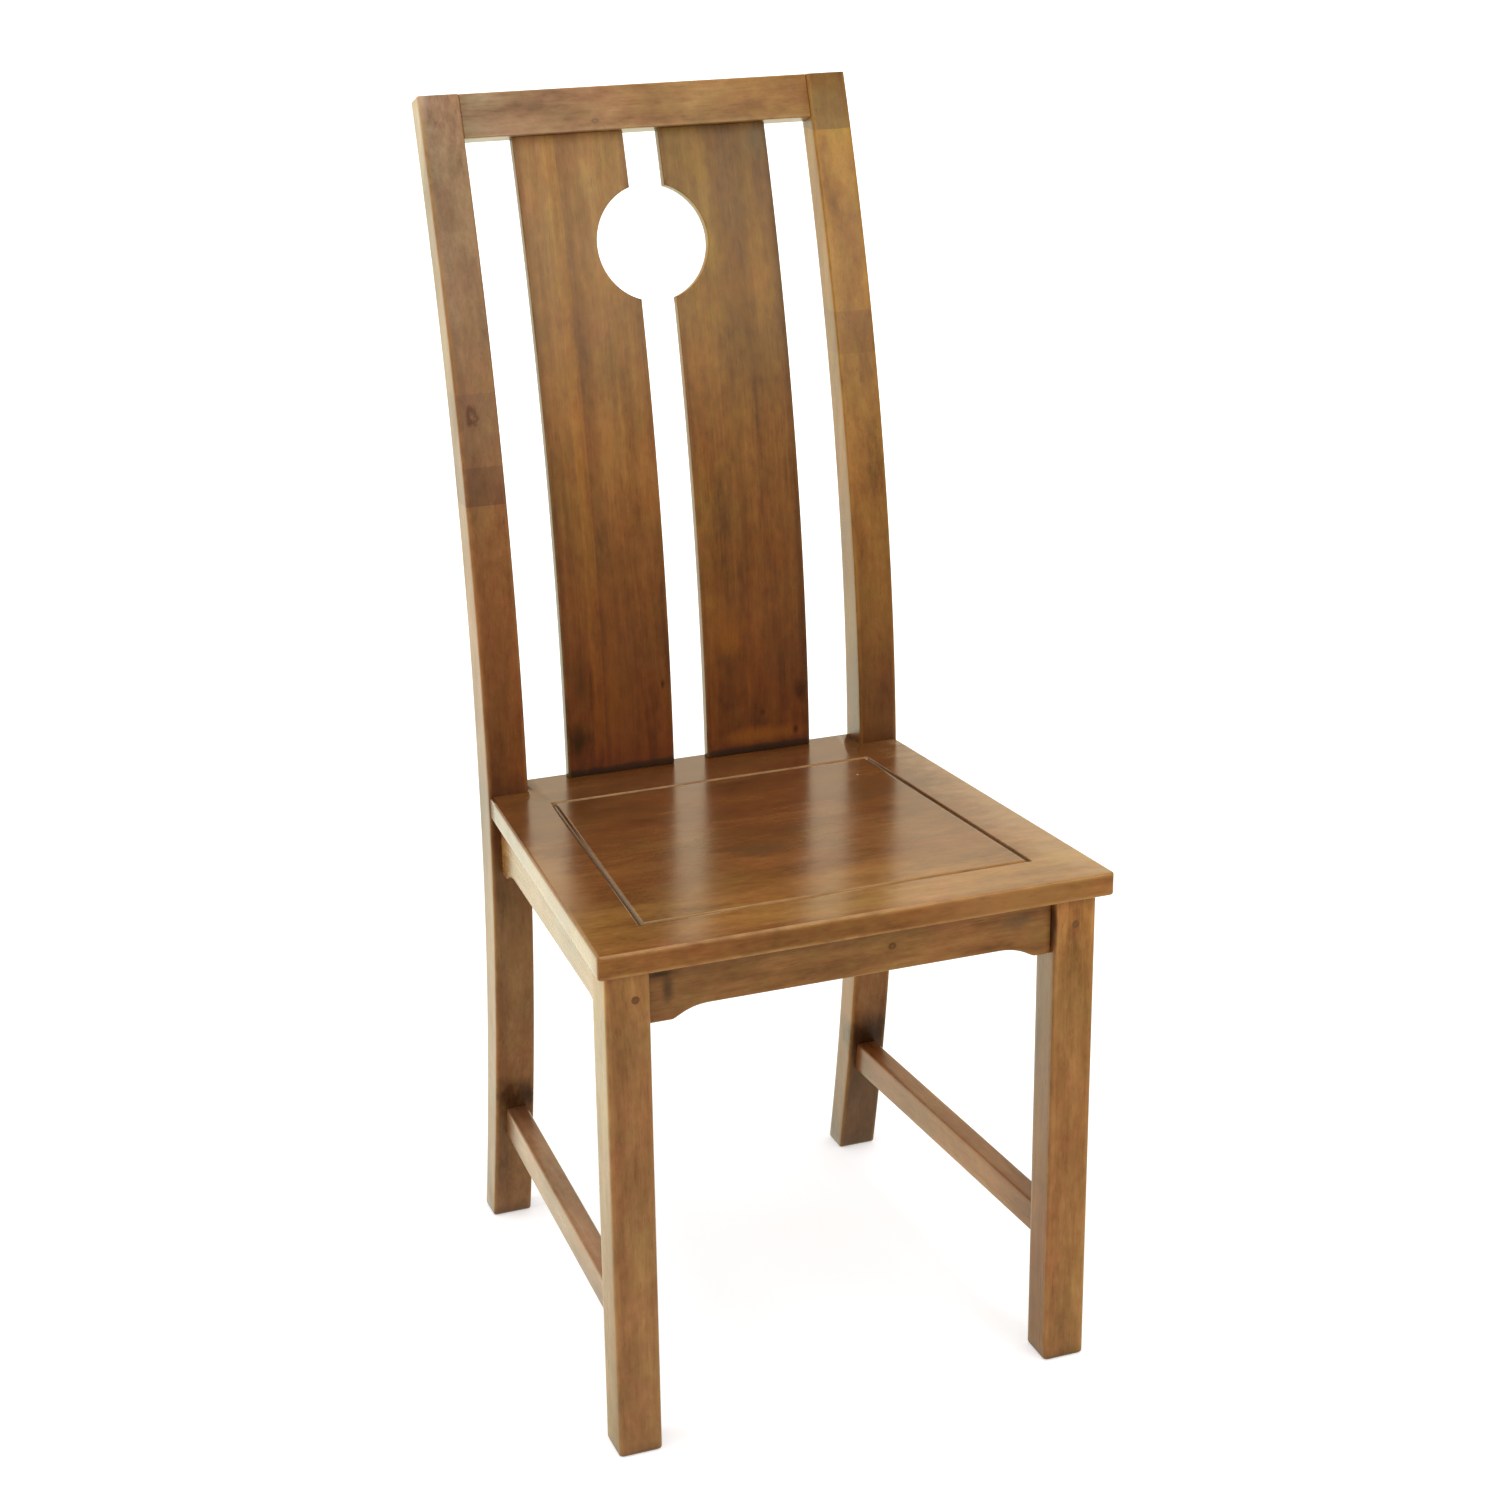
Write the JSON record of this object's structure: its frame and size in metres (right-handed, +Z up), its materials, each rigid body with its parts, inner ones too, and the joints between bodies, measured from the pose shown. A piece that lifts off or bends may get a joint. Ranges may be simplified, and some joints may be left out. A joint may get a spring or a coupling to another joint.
{
  "type": "dining chair",
  "caption": "High-back wooden side chair with a tapered seat, curved posts, two curved splats with a round opening, shaped aprons and low side stretchers.",
  "frame": {"origin": "centre of the overall box, on the floor", "axes": "+Z up, the front towards -Y, +X to the right as seen from the front"},
  "size_m": [0.4396, 0.531, 1.0282],
  "materials": {
    "seat_wood": "walnut stain under satin lacquer",
    "frame_wood": "walnut stain under satin lacquer",
    "back_wood": "reddish stain under satin lacquer",
    "dark_wood": "dark stain under satin lacquer",
    "raw_wood": "bare, sawn",
    "steel": "bright zinc plate"
  },
  "bodies": {
    "root": {"seat_board": "seat_wood", "front_leg_left": "frame_wood", "front_leg_right": "frame_wood", "rear_post_left": "back_wood", "rear_post_right": "back_wood", "top_rail": "frame_wood", "splat_left": "back_wood", "splat_right": "back_wood", "front_apron": "frame_wood", "rear_apron": "dark_wood", "side_apron_left": "frame_wood", "side_apron_right": "frame_wood", "side_stretcher_left": "frame_wood", "side_stretcher_right": "frame_wood", "tenon_peg_left": "dark_wood", "tenon_peg_right": "dark_wood", "corner_block_front_left": "raw_wood", "corner_block_front_right": "raw_wood", "corner_block_rear_left": "raw_wood", "corner_block_rear_right": "raw_wood", "screw_cross_front_left": "steel", "screw_cross_front_right": "steel", "screw_cross_rear_left": "steel", "screw_cross_rear_right": "steel", "screw_side_front_left": "steel", "screw_side_front_right": "steel", "screw_side_rear_left": "steel", "screw_side_rear_right": "steel", "screw_seat_front_left": "steel", "screw_seat_front_right": "steel", "screw_seat_rear_left": "steel", "screw_seat_rear_right": "steel"}
  },
  "joints": []
}
